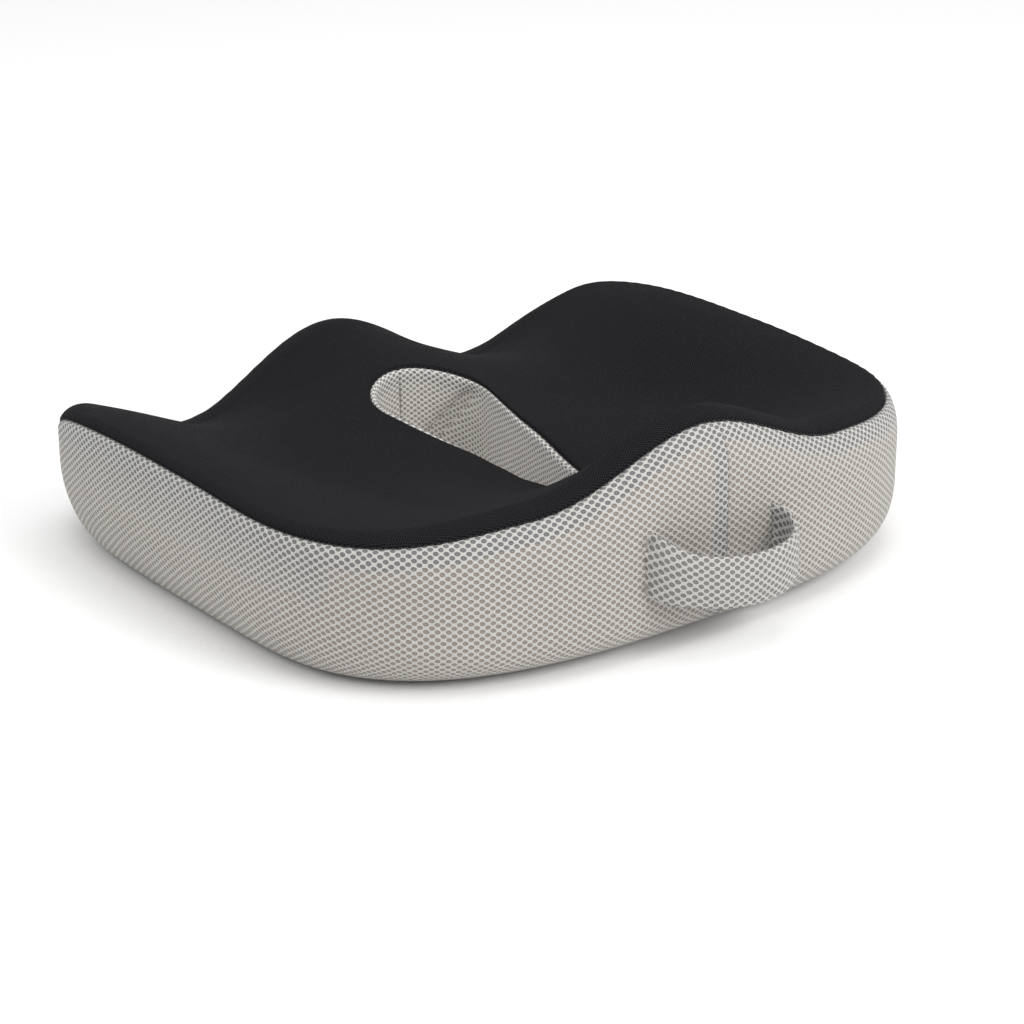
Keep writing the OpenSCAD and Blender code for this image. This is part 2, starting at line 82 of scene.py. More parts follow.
MESH_T = 2.6
SEAM_FRONT = 0.4
SEAM_LEFT = 0.47
SEAM_RIGHT = 0.57
SEAM_REAR = 0.64
SEAM_CORNER_DIP = 0.4
BASE_SEAM = 0.13
ZIP_SEAM = 0.8
ZIP_L = 244.0
REAR_JOINT_X = -11.0
RIM_SEAM = 0.55
RIM_ROLL = 0.22
ROLL_TURN = -35.0
ROLL_WIDTH = 38.0
FOOT_SEAM = 0.5
HANDLE_W = 92.0
HANDLE_OUT = 30.0
STRAP_H = 30.0
STRAP_END_H = 37.0
STRAP_T = 5.0
HANDLE_Z = 57.0
STRAP_DROOP = 10.0
STRAP_SET_IN = 0.3
# A used strap sits a little askew: its right end is lower and it leans to the right
STRAP_TILT = 4.0
STRAP_LEAN = 8.0

# The CAD centres the whole object, handle and all, on the origin
_, side_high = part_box("side_panel_left")
BODY_SHIFT = side_high.y / MM - HALF_D


def mix(a, b, t):
    return a + (b - a) * t


def ease(t):
    c = np.clip(t, 0, 1)
    return c * c * (3 - 2 * c)


def along(values, s):
    """Smooth curve through five equally spaced heights, s from -1 (front) to 1 (rear)."""
    v = np.array([2 * values[0] - values[1], *values, 2 * values[4] - values[3]], float)
    u = np.clip((s + 1) * 2, 0, 3.9999)
    i = u.astype(int)
    f = u - i
    p0, p1, p2, p3 = v[i], v[i + 1], v[i + 2], v[i + 3]
    curve = 2 * p1 + (p2 - p0) * f + (2 * p0 - 5 * p1 + 4 * p2 - p3) * f**2
    return (curve + (3 * p1 - p0 - 3 * p2 + p3) * f**3) / 2


def seat_z(p):
    s = p[..., 1] / HALF_D
    x = np.abs(p[..., 0])
    c, g, h = along(CENTRE_Z, s), along(GROOVE_Z, s), along(SHOULDER_Z, s)
    inner = mix(c, g, ease(x / GROOVE_X))
    outer = mix(g, h, ease((x - GROOVE_X) / (SHOULDER_X - GROOVE_X)))
    return np.where(x < GROOVE_X, inner, outer)


def edge(a):
    """Outline point in direction a (radians), seen from above."""
    c, s = np.cos(a), np.sin(a)
    n = mix(FRONT_SQUARE, REAR_SQUARE, ease((s + 1) / 2))
    r = ((np.abs(c) / HALF_W) ** n + (np.abs(s) / HALF_D) ** n) ** (-1 / n)
    return np.stack([r * c, r * s], -1)


def outward(a):
    d = math.radians(1)
    t = edge(a + d) - edge(a - d)
    return np.stack([t[..., 1], -t[..., 0]], -1) / np.linalg.norm(t, axis=-1, keepdims=True)


def facing(v, n):
    x, y = n[..., 0], n[..., 1]
    return x * x * v[1] + y * y * np.where(y < 0, v[0], v[2])


def corner(n):
    """1 where the outline faces a front corner, 0 along its sides and rear."""
    return np.where(n[..., 1] < 0, 4 * n[..., 0] ** 2 * n[..., 1] ** 2, 0)


def low_size(a):
    n = outward(a)
    extra = corner(n) * LOW_ROUND_CORNER
    return facing(LOW_ROUND_H, n) + extra, facing(LOW_ROUND_W, n) + extra


def rim_xy(a):
    n = outward(a)
    return edge(a) - facing(TOP_ROUND_W, n)[..., None] * n


def top_size(a):
    n = outward(a)
    room = seat_z(rim_xy(a)) - DOT_H - low_size(a)[0] - LEAST_WALL
    return np.minimum(facing(TOP_ROUND_H, n), room), facing(TOP_ROUND_W, n)


def lift(xy, z):
    return np.concatenate([xy, np.asarray(z)[..., None]], -1)


def low_pt(a, k, off):
    h, w = low_size(a)
    q = math.pi / 2 * k
    d = w - (w - off) * np.sin(q)
    return lift(edge(a) - d[..., None] * outward(a), DOT_H + h - (h - off) * np.cos(q))


def high_pt(a, k, off):
    h, w = top_size(a)
    q = math.pi / 2 * k
    d = w - (w - off) * np.cos(q)
    return lift(edge(a) - d[..., None] * outward(a), seat_z(rim_xy(a)) - h + (h - off) * np.sin(q))


def cut_xy(a, grow):
    """Cutout outline, two circles joined by straight flanks, grown by grow."""
    d = np.stack([np.cos(a), RAY_CROWD * np.sin(a)], -1)
    d = d / np.linalg.norm(d, axis=-1, keepdims=True)
    r1, r2 = CUT_FRONT_R + grow, CUT_REAR_R + grow
    sn = (r1 - r2) / (CUT_FRONT_Y + CUT_REAR_Y)
    slope = np.sqrt(1 - sn**2) * np.abs(d[..., 0]) + sn * d[..., 1]
    flank = (r1 - sn * (RAY_Y + CUT_FRONT_Y)) / np.maximum(0.001, slope)
    y = RAY_Y + flank * d[..., 1]
    rear = (slope < 0.001) | (y > CUT_REAR_Y + r2 * sn)
    front = y < r1 * sn - CUT_FRONT_Y

    def circle(q, r):
        return d[..., 1] * q + np.sqrt(np.maximum(0, (d[..., 1] * q) ** 2 - q * q + r * r))

    ends = np.where(rear, circle(CUT_REAR_Y - RAY_Y, r2), flank)
    rho = np.where(front & (d[..., 1] < 0), circle(-CUT_FRONT_Y - RAY_Y, r1), ends)
    return np.stack([rho * d[..., 0], RAY_Y + rho * d[..., 1]], -1)


def seat_pt(a, r, off):
    p = mix(cut_xy(a, CUT_RIM_R), rim_xy(a), np.asarray(r)[..., None])
    return lift(p, seat_z(p) - off)


def cut_rim_pt(a, k, off):
    q = math.pi / 2 * k
    p = cut_xy(a, CUT_RIM_R - (CUT_RIM_R - off) * np.cos(q))
    z = seat_z(cut_xy(a, CUT_RIM_R)) - CUT_RIM_R + (CUT_RIM_R - off) * np.sin(q)
    return lift(p, z)


def cut_foot_pt(a, k, off):
    q = math.pi / 2 * k
    p = cut_xy(a, CUT_RIM_R - (CUT_RIM_R - off) * np.cos(q))
    return lift(p, DOT_H + CUT_RIM_R - (CUT_RIM_R - off) * np.sin(q) + 0 * a)


def rim_seam(a):
    """Where the lining meets the seat on the cutout's rim; it rolls further over its near side."""
    away = (np.degrees(a) + 180 - ROLL_TURN) % 360 - 180
    return RIM_SEAM + RIM_ROLL * np.exp(-((away / ROLL_WIDTH) ** 2))


def top_seam_k(a):
    n = outward(a)
    side = np.where(n[..., 0] > 0, SEAM_LEFT, SEAM_RIGHT)
    x, y = n[..., 0], n[..., 1]
    level = x * x * side + y * y * np.where(y < 0, SEAM_FRONT, SEAM_REAR)
    return level - SEAM_CORNER_DIP * corner(n)


def from_front(a):
    """Degrees away from straight ahead, seen from above."""
    return np.abs((np.degrees(a) + 270) % 360 - 180)


ZIP_END = math.degrees(math.atan(ZIP_L / 2 / HALF_D))


def base_seam_k(a):
    return mix(ZIP_SEAM, BASE_SEAM, ease((from_front(a) - ZIP_END) / 30))


# ---------------------------------------------------------------- mesh building
AROUND = 576
WALL_Y = HALF_D
TUCK_DEPTH = 1.5
TUCK_REACH = 1.3
SEAM_GAP = 0.5
# Half the gap that the zip fills, as a share of the bottom rounding
ZIP_GAP = 0.165
# Half a seam gap, as a share of the roundings of the cutout
RIM_GAP = SEAM_GAP / (CUT_RIM_R * math.pi)


def mesh_object(name, points, faces, uvs, marks=None):
    """Mesh from points in millimetres, quads and one uv pair per corner; marks are per point."""
    mesh = bpy.data.meshes.new(name)
    moved = (points + np.array([0, BODY_SHIFT, 0])) * MM
    mesh.from_pydata(moved.tolist(), [], faces.tolist())
    layer = mesh.uv_layers.new(name="cloth")
    layer.data.foreach_set("uv", (np.asarray(uvs) * MM).astype(np.float32).ravel())
    for mark, values in (marks or {}).items():
        attribute = mesh.attributes.new(mark, "FLOAT", "POINT")
        attribute.data.foreach_set("value", np.asarray(values, np.float32).ravel())
    mesh.shade_smooth()
    mesh.update()
    piece = bpy.data.objects.new(name, mesh)
    bpy.context.scene.collection.objects.link(piece)
    return piece


def quads(count_a, count_b, wrap_a, wrap_b):
    """Corner index pairs of every quad in a grid of count_a by count_b points."""
    ia = np.arange(count_a if wrap_a else count_a - 1)
    ib = np.arange(count_b if wrap_b else count_b - 1)
    a, b = np.meshgrid(ia, ib, indexing="ij")
    corners_a = np.stack([a, a + 1, a + 1, a], -1).reshape(-1, 4)
    corners_b = np.stack([b, b, b + 1, b + 1], -1).reshape(-1, 4)
    return corners_a, corners_b


def loft(name, loops, u, v, closed=True, marks=None):
    """Skin over cross-section loops. loops is (loop, point, xyz); u and v are cloth coordinates with
    one extra entry wherever the skin wraps. Open lofts get end caps that fold the loop in half."""
    n, m = loops.shape[:2]
    ca, cb = quads(n, m, closed, True)
    faces = (ca % n) * m + cb % m
    uvs = np.stack([u[ca, cb], v[ca, cb]], -1)
    if not closed:
        half = m // 2
        i = np.arange(half - 1)
        cap = np.stack([i, i + 1, m - 2 - i, m - 1 - i], -1)
        for row, flip in ((0, True), (n - 1, False)):
            ring = cap[:, ::-1] if flip else cap
            faces = np.concatenate([faces, row * m + ring])
            flat = np.stack([u[row, ring], v[row, ring]], -1)
            uvs = np.concatenate([uvs, flat])
    return mesh_object(name, loops.reshape(-1, 3), faces, uvs, marks)


def lengths(rows):
    """Distance along axis 0 from the first row."""
    steps = np.linalg.norm(np.diff(rows, axis=0), axis=-1)
    return np.concatenate([np.zeros_like(steps[:1]), np.cumsum(steps, 0)])


def rumple(u, v, size):
    """Gentle unevenness of cloth over foam, from -1 to 1, in waves about size long."""
    waves = ((1.0, 0.3, 0.0), (-0.5, 0.9, 1.3), (0.7, -1.1, 2.9), (0.2, 1.6, 4.1))
    return sum(np.sin(2 * math.pi * (p * u + q * v) / size + r) for p, q, r in waves) / 4


def tuck(distance):
    """How far cloth dives into a seam at a distance from it."""
    return TUCK_DEPTH * np.exp(-((distance / TUCK_REACH) ** 2))


def pucker(u, distance):
    """Small pulls of the sewing, dying away from the seam."""
    return 0.22 * np.exp(-distance / 5) * np.sin(2 * math.pi * u / 11 + 1.7 * np.sin(u / 37))


def crowded(start, stop, count, power=1.6):
    """Steps from start to stop that begin close together."""
    t = np.linspace(0, 1, count)[:, None] ** power
    return start + (stop - start) * t


def follow(a, parts, off):
    """Points of one cross-section after another: parts is a list of (function, steps)."""
    done = []
    row = 0
    for place, steps in parts:
        count = len(steps)
        done.append(place(a, steps, off[row:row + count]))
        row += count
    return np.concatenate(done)


# The back of a panel keeps every fourth row of its face
BACK_STEP = 4


def back_of(rows):
    return np.unique(np.append(np.arange(0, rows, BACK_STEP), rows - 1))


def cloth_panel(name, a, parts, closed, depth, across=None, marks=None):
    """Solid panel of the cover. depth(u, from_start, from_end, face) says how far its face lies
    below the cover's nominal surface; its back lies MESH_T below that surface. across(a, face, arc)
    gives the cloth coordinates of a closed panel; an open strip runs along u and up v."""
    flat = np.zeros((sum(len(s) for _, s in parts), len(a)))
    bare = follow(a, parts, flat)
    arc = lengths(bare)
    turn = np.append(a, a[0] + 2 * math.pi) if closed else a
    walk = lengths(edge(turn))
    u = np.broadcast_to(walk[:len(a)], arc.shape)
    off = depth(u, arc, arc[-1] - arc, bare)
    front = follow(a, parts, off)
    back_rows = back_of(len(bare))
    back = follow(a, parts, flat + MESH_T)[back_rows]
    loops = np.concatenate([front, back[::-1]]).transpose(1, 0, 2)
    v = np.concatenate([arc, arc[back_rows][::-1] + 2 * MESH_T])
    v = np.concatenate([v, v[:1] - MESH_T]).T
    if across is None:
        u_grid = np.broadcast_to(walk[:, None], v.shape)
    else:
        flat_u, flat_v = across(a, bare, arc)
        both = [np.concatenate([g, g[back_rows][::-1], g[:1]]).T for g in (flat_u, flat_v)]
        u_grid, v = (np.concatenate([g, g[:1]]) for g in both)
    found = {}
    for mark, value in (marks or {}).items():
        grid = value(u, arc, arc[-1] - arc)
        found[mark] = np.concatenate([grid, grid[back_rows][::-1]]).T
    return loft(name, loops, u_grid, v, closed, found)


def ring_gap(heights, widths):
    """Half a seam gap as a share of a rounding."""
    return SEAM_GAP / 2 / ((heights + widths) / 2 * math.pi / 2)


# ---------------------------------------------------------------- cover panels and foam
all_round = np.linspace(0, 2 * math.pi, AROUND, endpoint=False) - math.pi / 2


SEAT_EDGE_STEPS = 18


def seat_parts(a):
    h, w = top_size(a)
    start = top_seam_k(a) + ring_gap(h, w)
    rim_start = 1 + 0 * a
    rim_end = rim_seam(a) + RIM_GAP
    return [
        (high_pt, crowded(start, 1 + 0 * a, SEAT_EDGE_STEPS)),
        (seat_pt, np.linspace(1, 0, 64)[1:-1, None] + 0 * a),
        (cut_rim_pt, crowded(rim_end, rim_start, 9)[::-1]),
    ]


def seat_depth(u, start, end, bare):
    soft = 0.35 * rumple(u, start, 95) * np.clip(start / 30, 0, 1)
    return tuck(start) + tuck(end) + soft + pucker(u, start)


def seat_flat(a, bare, arc):
    """Cloth coordinates of the seat: seen from above, and rolled out flat beyond its rim."""
    rim_row = SEAT_EDGE_STEPS - 1
    beyond = np.clip(arc[rim_row] - arc, 0, None)
    flat = rim_xy(a) + outward(a) * beyond[..., None]
    inside = np.arange(len(arc))[:, None, None] > rim_row
    flat = np.where(inside, bare[..., :2], flat)
    return flat[..., 0], flat[..., 1]


def wall_parts(a):
    h, w = low_size(a)
    start = base_seam_k(a) + np.where(from_front(a) < ZIP_END, ZIP_GAP, ring_gap(h, w))
    top_h, top_w = top_size(a)
    end = top_seam_k(a) - ring_gap(top_h, top_w)
    return [
        (low_pt, crowded(start, 1 + 0 * a, 14)),
        (high_pt, crowded(end, 0 * a, 20)[::-1]),
    ]


JOINT_TUCK = 0.4
JOINT_REACH = 1.1
# The wall is drawn in just outside each sewn end of the handle
SLIT_DEPTH = 2.0
SLIT_X = HANDLE_W / 2 + STRAP_T / 2 + 0.6
SLIT_REACH = 1.7
SLIT_FADE = 6
# Widths of the turned-in cloth behind the top seam, the walls' joints and the cutout's rim,
# and how far each of them fades out
TOP_ALLOWANCE = 11
JOINT_ALLOWANCE = 9
RIM_ALLOWANCE = 9
ALLOWANCE_FADE = 3


def wall(name, from_a, to_a):
    count = AROUND // 2
    t = np.linspace(0, 1, count)
    t = t - 0.35 * np.sin(2 * math.pi * t) / (2 * math.pi)
    a = from_a + (to_a - from_a) * t

    def depth(u, start, end, bare):
        side = np.minimum(u, u.max() - u)
        joint = JOINT_TUCK * np.exp(-((side / JOINT_REACH) ** 2))
        soft = 0.4 * rumple(u, start, 120) * np.clip(end / 25, 0, 1)
        x, y, z = bare[..., 0], bare[..., 1], bare[..., 2]
        away = (np.abs(x) - SLIT_X) / SLIT_REACH
        level = np.abs(z - HANDLE_Z + STRAP_TILT * (x < 0)) - STRAP_END_H / 2
        slit = SLIT_DEPTH * np.exp(-(away**2)) * (1 - ease(level / SLIT_FADE + 0.5)) * (y > 0)
        return tuck(start) + tuck(end) + joint + soft + pucker(u, end) + slit

    def backing_and_shade(u, start, end):
        """1 where the seam's turned-in cloth lies behind the face."""
        side = u if name == "side_wall_right" else u.max() - u
        near_top = 1 - ease((end - TOP_ALLOWANCE) / ALLOWANCE_FADE)
        near_joint = 1 - ease((side - JOINT_ALLOWANCE) / ALLOWANCE_FADE)
        near_joint = near_joint * (name == "side_wall_left")
        return np.maximum(near_top, near_joint)

    return cloth_panel(name, a, wall_parts(a), False, depth, marks={"backing_and_shade": backing_and_shade})


REAR_JOINT_A = math.pi / 2 - math.atan(REAR_JOINT_X / HALF_D)
SIDE_TRIM = math.radians(0.04)
seat_cover = cloth_panel("seat_cover", all_round, seat_parts(all_round), True, seat_depth,
                         across=seat_flat)
wall_left = wall("side_wall_left", -math.pi / 2 + SIDE_TRIM, REAR_JOINT_A - SIDE_TRIM)
wall_right = wall("side_wall_right", REAR_JOINT_A + SIDE_TRIM, 3 * math.pi / 2 - SIDE_TRIM)


# Two soft folds run down the lining: (direction from the middle in degrees, width, depth, slant)
LINING_FOLDS = ((-126.0, 6.5, 4.2, 0.75), (-24.0, 11.0, 1.6, -0.4))


def lining_parts(a):
    return [
        (cut_rim_pt, crowded(rim_seam(a) - RIM_GAP, 0 * a, 9)),
        (lining_wall, np.linspace(0, 1, 40)[1:-1, None] + 0 * a),
        (cut_foot_pt, crowded(FOOT_SEAM - RIM_GAP, 0, 8)[::-1] + 0 * a),
    ]


def lining_wall(a, t, off):
    top, foot = cut_rim_pt(a, 0, off), cut_foot_pt(a, 0, off)
    return mix(top, foot, np.asarray(t)[..., None])


def cut_walk(a):
    return lengths(cut_xy(a, 0))


lining_a = np.linspace(0, 2 * math.pi, 420) - math.pi / 2
lining_a[0] += math.radians(0.1)
lining_a[-1] -= math.radians(0.1)
lining_u = cut_walk(lining_a)


def lining_depth(start, end):
    around = np.broadcast_to(lining_u, start.shape)
    side = np.minimum(around, around.max() - around)
    joint = 0.8 * np.exp(-((side / 1.2) ** 2))
    folds = 0
    for direction, width, depth, slant in LINING_FOLDS:
        turned = (direction + 90) % 360 - 90
        middle = np.interp(math.radians(turned), lining_a, lining_u)
        away = around - middle - slant * (start - 30)
        folds = folds + depth * np.exp(-((away / width) ** 2)) * ease(start / 16)
    soft = 0.4 * rumple(around, start, 60) * np.clip(start / 12, 0, 1)
    return tuck(start) + tuck(end) + joint + folds + soft


def lining_piece():
    parts = lining_parts(lining_a)
    rows = sum(len(s) for _, s in parts)
    flat = np.zeros((rows, len(lining_a)))
    bare = follow(lining_a, parts, flat)
    arc = lengths(bare)
    front = follow(lining_a, parts, lining_depth(arc, arc[-1] - arc))
    back_rows = back_of(rows)
    back = follow(lining_a, parts, flat + MESH_T)[back_rows]
    loops = np.concatenate([front, back[::-1]]).transpose(1, 0, 2)
    v = np.concatenate([arc, arc[back_rows][::-1] + 2 * MESH_T, arc[:1] - MESH_T]).T
    u = np.broadcast_to(lining_u[:, None], v.shape)
    near = 1 - ease((arc - RIM_ALLOWANCE) / ALLOWANCE_FADE)
    near = np.concatenate([near, near[back_rows][::-1]]).T
    return loft("cutout_lining_cover", loops, u, v, False, {"backing_and_shade": near})


lining = lining_piece()


def base_parts(a):
    h, w = low_size(a)
    end = base_seam_k(a) - np.where(from_front(a) < ZIP_END, ZIP_GAP, ring_gap(h, w))

    def floor_pt(a, t, off):
        inner, outer = cut_foot_pt(a, 1, off), low_pt(a, 0 * t, off)
        return mix(inner, outer, np.asarray(t)[..., None])

    return [
        (cut_foot_pt, crowded(FOOT_SEAM + RIM_GAP, 1, 8) + 0 * a),
        (floor_pt, np.linspace(0, 1, 26)[1:-1, None] + 0 * a),
        (low_pt, crowded(end, 0 * a, 14)[::-1]),
    ]


def base_depth(u, start, end, bare):
    return tuck(start) + tuck(end) + pucker(u, end) * 0.5


def base_flat(a, bare, arc):
    return bare[..., 0], bare[..., 1]


base_fabric = cloth_panel("base_fabric", all_round, base_parts(all_round), True, base_depth,
                          across=base_flat)

CORE_OFF = 3.2


def foam_piece():
    a = all_round[::3]
    whole = np.linspace(0, 1, 12)[:, None] + 0 * a
    parts = [
        (low_pt, whole),
        (high_pt, whole),
        (seat_pt, np.linspace(1, 0, 40)[1:-1, None] + 0 * a),
        (cut_rim_pt, whole[::-1]),
        (cut_foot_pt, whole),
    ]
    rows = sum(len(s) for _, s in parts)
    points = follow(a, parts, np.full((rows, len(a)), CORE_OFF))
    arc = lengths(points)
    v = np.concatenate([arc, arc[-1:] + 1]).T
    v = np.concatenate([v, v[:1]])
    walk = lengths(edge(np.append(a, a[0] + 2 * math.pi)))
    u = np.broadcast_to(walk[:, None], v.shape)
    return loft("foam_block", points.transpose(1, 0, 2), u, v)


foam_block = foam_piece()


# ---------------------------------------------------------------- stitches
# Pitch, length and thread radius of each kind of stitch
SEAM_STITCH = (3.4, 2.7, 0.3)
RIM_STITCH = (3.4, 2.7, 0.28)
JOINT_STITCH = (3.2, 2.5, 0.22)
STRAP_STITCH = (3.2, 2.4, 0.22)
TACK_STITCH = (2.8, 2.7, 0.3)


def stitch_row(name, path, ups, stitch, closed=False):
    """A row of small arched stitches along a path in millimetres."""
    pitch, length, radius = stitch
    if closed:
        path = np.concatenate([path, path[:1]])
        ups = np.concatenate([ups, ups[:1]])
    walk = lengths(path)
    count = max(1, int(walk[-1] / pitch))
    places = (np.arange(count) + 0.5) * walk[-1] / count
    rings, sides = 7, 8
    s = np.linspace(-1, 1, rings)
    at = places[:, None] + s * length / 2
    middle = np.stack([np.interp(at % walk[-1], walk, path[:, i]) for i in range(3)], -1)
    up = np.stack([np.interp(at % walk[-1], walk, ups[:, i]) for i in range(3)], -1)
    run = np.gradient(middle, axis=1)
    run /= np.linalg.norm(run, axis=-1, keepdims=True)
    side = np.cross(run, up)
    side /= np.linalg.norm(side, axis=-1, keepdims=True)
    up = np.cross(side, run)
    middle = middle + up * (radius * (1 - s**2))[None, :, None]
    turn = np.linspace(0, 2 * math.pi, sides, endpoint=False)
    thick = radius * np.sqrt(1.02 - s**4)
    ring = side[:, :, None] * np.cos(turn)[:, None] + up[:, :, None] * np.sin(turn)[:, None]
    points = middle[:, :, None] + ring * thick[None, :, None, None]
    ca, cb = quads(rings, sides, False, True)
    one = ca * sides + cb % sides
    first = (np.arange(count) * rings * sides)[:, None, None]
    faces = (one[None] + first).reshape(-1, 4)
    along_u = np.broadcast_to((s[ca] + 1) * length / 2, (count, *ca.shape))
    uvs = np.stack([along_u, np.broadcast_to(cb * radius, along_u.shape)], -1)
    half = sides // 2
    i = np.arange(half - 1)
    cap = np.stack([i, i + 1, sides - 2 - i, sides - 1 - i], -1)
    end = (rings - 1) * sides
    lids = np.concatenate([cap[:, ::-1], cap + end])
    faces = np.concatenate([faces, (lids[None] + first).reshape(-1, 4)])
    uvs = np.concatenate([uvs.reshape(-1, 4, 2), np.zeros((count * len(lids), 4, 2))])
    return mesh_object(name, points.reshape(-1, 3), faces, uvs)


def upright(a):
    n = outward(a)
    return np.stack([n[:, 0], n[:, 1], 0 * a], -1)


UP = np.array([0.0, 0.0, 1.0])
SEAM_SINK = 1.05
top_line = high_pt(all_round, top_seam_k(all_round), SEAM_SINK)
top_ups = upright(all_round) * 0.7 + UP * 0.7
top_stitches = stitch_row("top_seam_stitches", top_line, top_ups, SEAM_STITCH, closed=True)

rim_ups = np.broadcast_to(UP, (AROUND, 3))
rim_line = cut_rim_pt(all_round, rim_seam(all_round), SEAM_SINK)
rim_stitches = stitch_row("cutout_seam_stitches", rim_line, rim_ups, RIM_STITCH, closed=True)
foot_line = cut_foot_pt(all_round, FOOT_SEAM, SEAM_SINK)
foot_stitches = stitch_row("cutout_base_stitches", foot_line, -rim_ups, RIM_STITCH, closed=True)

zip_clear = math.radians(ZIP_END + 4)
base_a = np.linspace(-math.pi / 2 + zip_clear, 3 * math.pi / 2 - zip_clear, 480)
base_line = low_pt(base_a, base_seam_k(base_a), SEAM_SINK)
base_stitches = stitch_row("base_seam_stitches", base_line, upright(base_a) - UP, SEAM_STITCH)


JOINT_SINK = 0.55


def wall_joint(name, direction, start):
    steps = 60
    a = np.full(steps, direction)
    low = low_pt(a, np.linspace(start, 1, steps), JOINT_SINK)
    top = top_seam_k(a)[0] - 0.12
    high = high_pt(a, np.linspace(0.02, top, steps), JOINT_SINK)
    path = np.concatenate([low, high])
    return stitch_row(name, path, np.tile(upright(a[:1]), (2 * steps, 1)), JOINT_STITCH)


rear_stitches = wall_joint("rear_joint_stitches", REAR_JOINT_A, 0.2)
front_stitches = wall_joint("front_joint_stitches", -math.pi / 2, 0.98)
front_a = np.array([-math.pi / 2])
LINING_SINK = 0.6
down = np.linspace(0, 1, 40)[:, None]
lining_line = mix(cut_rim_pt(front_a, 0, LINING_SINK), cut_foot_pt(front_a, 0, LINING_SINK), down)
lining_ups = np.tile([0.0, 1.0, 0.0], (40, 1))
lining_stitches = stitch_row("lining_joint_stitches", lining_line, lining_ups, JOINT_STITCH)


# ---------------------------------------------------------------- handle
def strap_centre(t):
    """Middle of the strap, from its left end at t = 0 to its right end at t = 1."""
    u = math.pi * t
    out = HANDLE_OUT * np.maximum(0, np.sin(u)) ** 0.8
    return np.stack([
        HANDLE_W / 2 * np.cos(u) - STRAP_LEAN * np.maximum(0, np.sin(u)) ** 0.6,
        WALL_Y - STRAP_SET_IN + out,
        HANDLE_Z - STRAP_DROOP * out / HANDLE_OUT - STRAP_TILT * ease(t),
    ], -1)


def strap_half(t):
    return mix(STRAP_END_H, STRAP_H, ease(np.sin(math.pi * t) * 1.3)) / 2


def strap_frame(t):
    """Middle, outward direction and distance from the nearer end."""
    middle = strap_centre(t)
    run = np.gradient(middle, axis=0)
    run[:, 2] = 0
    run /= np.linalg.norm(run, axis=-1, keepdims=True)
    facing_out = -np.sign(run[:1, 1] * (t[0] - t[-1]))[:, None]
    out = np.stack([run[:, 1], -run[:, 0], 0 * t], -1) * facing_out
    walk = lengths(middle)
    return middle, out, walk


STRAP_RINGS = 150
STRAP_SIDES = 44
ROOT = 2.0


def strap_piece():
    t = np.linspace(0, 1, STRAP_RINGS)
    middle, out, walk = strap_frame(t)
    near_end = np.minimum(walk, walk[-1] - walk)
    # The ends run a little into the wall's slits
    ends = np.exp(-near_end / 1.5)
    middle[:, 1] -= ROOT * ends
    turn = np.linspace(math.pi, 3 * math.pi, STRAP_SIDES, endpoint=False)
    c, sn = np.cos(turn), np.sin(turn)
    flat = np.sign(c) * np.abs(c) ** 0.55
    tall = np.sign(sn) * np.abs(sn) ** 0.85
    half = strap_half(t)[:, None]
    end_pull = np.exp(-near_end / 7)[:, None]
    # Gathered at the sewn ends: creases across the strap, and a top corner that rolls inwards
    crease = 0.55 * end_pull * np.sin(tall * 7.0 + near_end[:, None] / 4)
    loose = 0.35 * rumple(walk[:, None], tall * 30, 34)
    uneven = np.where(c > 0, 1, 0.5) * (crease + loose) * np.abs(c) ** 0.3
    thick = (STRAP_T / 2 - 0.35) * flat + uneven
    corner_roll = 2.6 * end_pull * ease((tall - 0.45) / 0.55)
    bulge = 1.1 * np.sin(math.pi * t)[:, None] * (1 - tall**2)
    raised = half * tall - 1.6 * end_pull * ease((tall - 0.3) / 0.7)
    points = middle[:, None] + out[:, None] * (thick + bulge - corner_roll)[..., None]
    points[..., 2] += raised
    section = np.stack([flat * STRAP_T / 2, tall * STRAP_H / 2], -1)
    rim = lengths(np.concatenate([section, section[:1]]))
    v = rim[None] + 0 * walk[:, None]
    u = np.broadcast_to(walk[:, None], v.shape)
    # Holes on the outer face show the padding and are greyer; on the inner face, which faces the
    # wall, they take the full dark colour as painted shade
    mark = np.where(c > 0, 0.55, 1.0)[None] + 0 * walk[:, None]
    return loft("handle_strap", points, u, v, False, {"backing_and_shade": mark})


strap = strap_piece()


def strap_edge_stitches(name, side):
    t = np.linspace(0.04, 0.96, 300)
    middle, out, _ = strap_frame(t)
    path = middle - out * (STRAP_T / 2 - 0.75)
    path[:, 2] += side * (strap_half(t) - 2.4)
    return stitch_row(name, path, -out, STRAP_STITCH)


strap_stitches = [strap_edge_stitches("handle_stitches_upper", 1),
                  strap_edge_stitches("handle_stitches_lower", -1)]


def handle_tacks(name, side):
    """Two dense bars of stitches that hold one end of the handle to the wall."""
    x = side * (HANDLE_W / 2 + STRAP_T / 2 + 0.15)
    made = []
    for level in (-13, 13):
        for i in range(-3, 4):
            z = HANDLE_Z + level + i * 0.9 - STRAP_TILT * (side < 0)
            path = np.array([[x, WALL_Y + y, z] for y in (0.2, 1.6, 3.0)])
            ups = np.tile([side * 1.0, 0.3, 0.0], (3, 1))
            made.append(stitch_row(f"tack_{level}_{i}", path, ups, TACK_STITCH))
    with bpy.context.temp_override(active_object=made[0], selected_editable_objects=made):
        bpy.ops.object.join()
    made[0].name = name
    return made[0]


tacks = [handle_tacks("handle_tack_left", 1), handle_tacks("handle_tack_right", -1)]


# ---------------------------------------------------------------- zip stitches and grip dots
def zip_point(x, y, z):
    """Point on the zip: x along the tape, y up the face, z outwards."""
    seat = low_pt(front_a, ZIP_SEAM, 0)[0]
    q = math.pi / 2 * ZIP_SEAM
    tilt = math.atan2(math.cos(q) / LOW_ROUND_H[0], math.sin(q) / LOW_ROUND_W[0])
    up = np.array([0, -math.sin(tilt), math.cos(tilt)])
    out = np.array([0, -math.cos(tilt), -math.sin(tilt)])
    return seat + np.array([1, 0, 0]) * x + up * y + out * z, out


